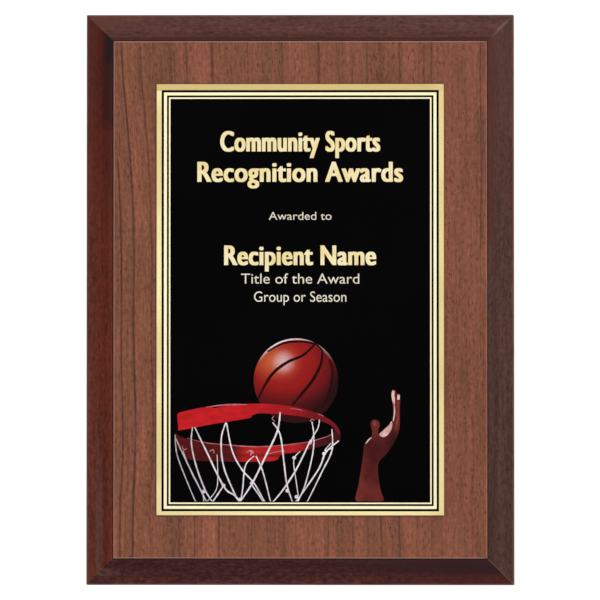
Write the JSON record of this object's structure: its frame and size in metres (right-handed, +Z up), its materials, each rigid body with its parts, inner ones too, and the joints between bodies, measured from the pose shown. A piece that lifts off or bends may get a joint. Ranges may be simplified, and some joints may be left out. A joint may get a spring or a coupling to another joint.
{
  "type": "wall plaque",
  "caption": "Upright wooden wall plaque: a veneered board with a mitred cove moulding all round, a gold-edged dark printed metal plate on its face and keyhole hangers in its back.",
  "frame": {"origin": "centre of the back face, in the plane that lies against the wall", "axes": "+Z up along the long side, -Y out of the front face, +Y into the wall, +X to the right seen from the front"},
  "size_m": [0.2286, 0.017, 0.3048],
  "materials": {
    "fibreboard": "medium-density fibreboard, bare",
    "walnut_veneer": "figured walnut veneer, satin lacquer",
    "liner_paper": "dark brown backing paper, matt",
    "dark_moulding": "dark stained hardwood, semi-gloss lacquer",
    "adhesive": "clear double-sided adhesive sheet",
    "gold_plate": "satin brushed gold",
    "black_ink": "baked black ink, semi-gloss",
    "colour_ink": "printed colours, semi-gloss",
    "zinc_steel": "zinc-plated pressed steel",
    "screw_steel": "yellow-passivated steel"
  },
  "bodies": {
    "root": {"core_board": "fibreboard", "face_veneer": "walnut_veneer", "back_liner": "liner_paper", "edge_moulding_top": "dark_moulding", "edge_moulding_bottom": "dark_moulding", "edge_moulding_left": "dark_moulding", "edge_moulding_right": "dark_moulding", "plate_tape": "adhesive", "award_plate": "gold_plate", "outer_line_print": "black_ink", "inner_line_print": "black_ink", "field_print": "black_ink", "colour_print": "colour_ink", "keyhole_hanger_portrait": "zinc_steel", "keyhole_hanger_landscape": "zinc_steel", "hanger_screw_portrait_left": "screw_steel", "hanger_screw_portrait_right": "screw_steel", "hanger_screw_landscape_upper": "screw_steel", "hanger_screw_landscape_lower": "screw_steel"}
  },
  "joints": []
}
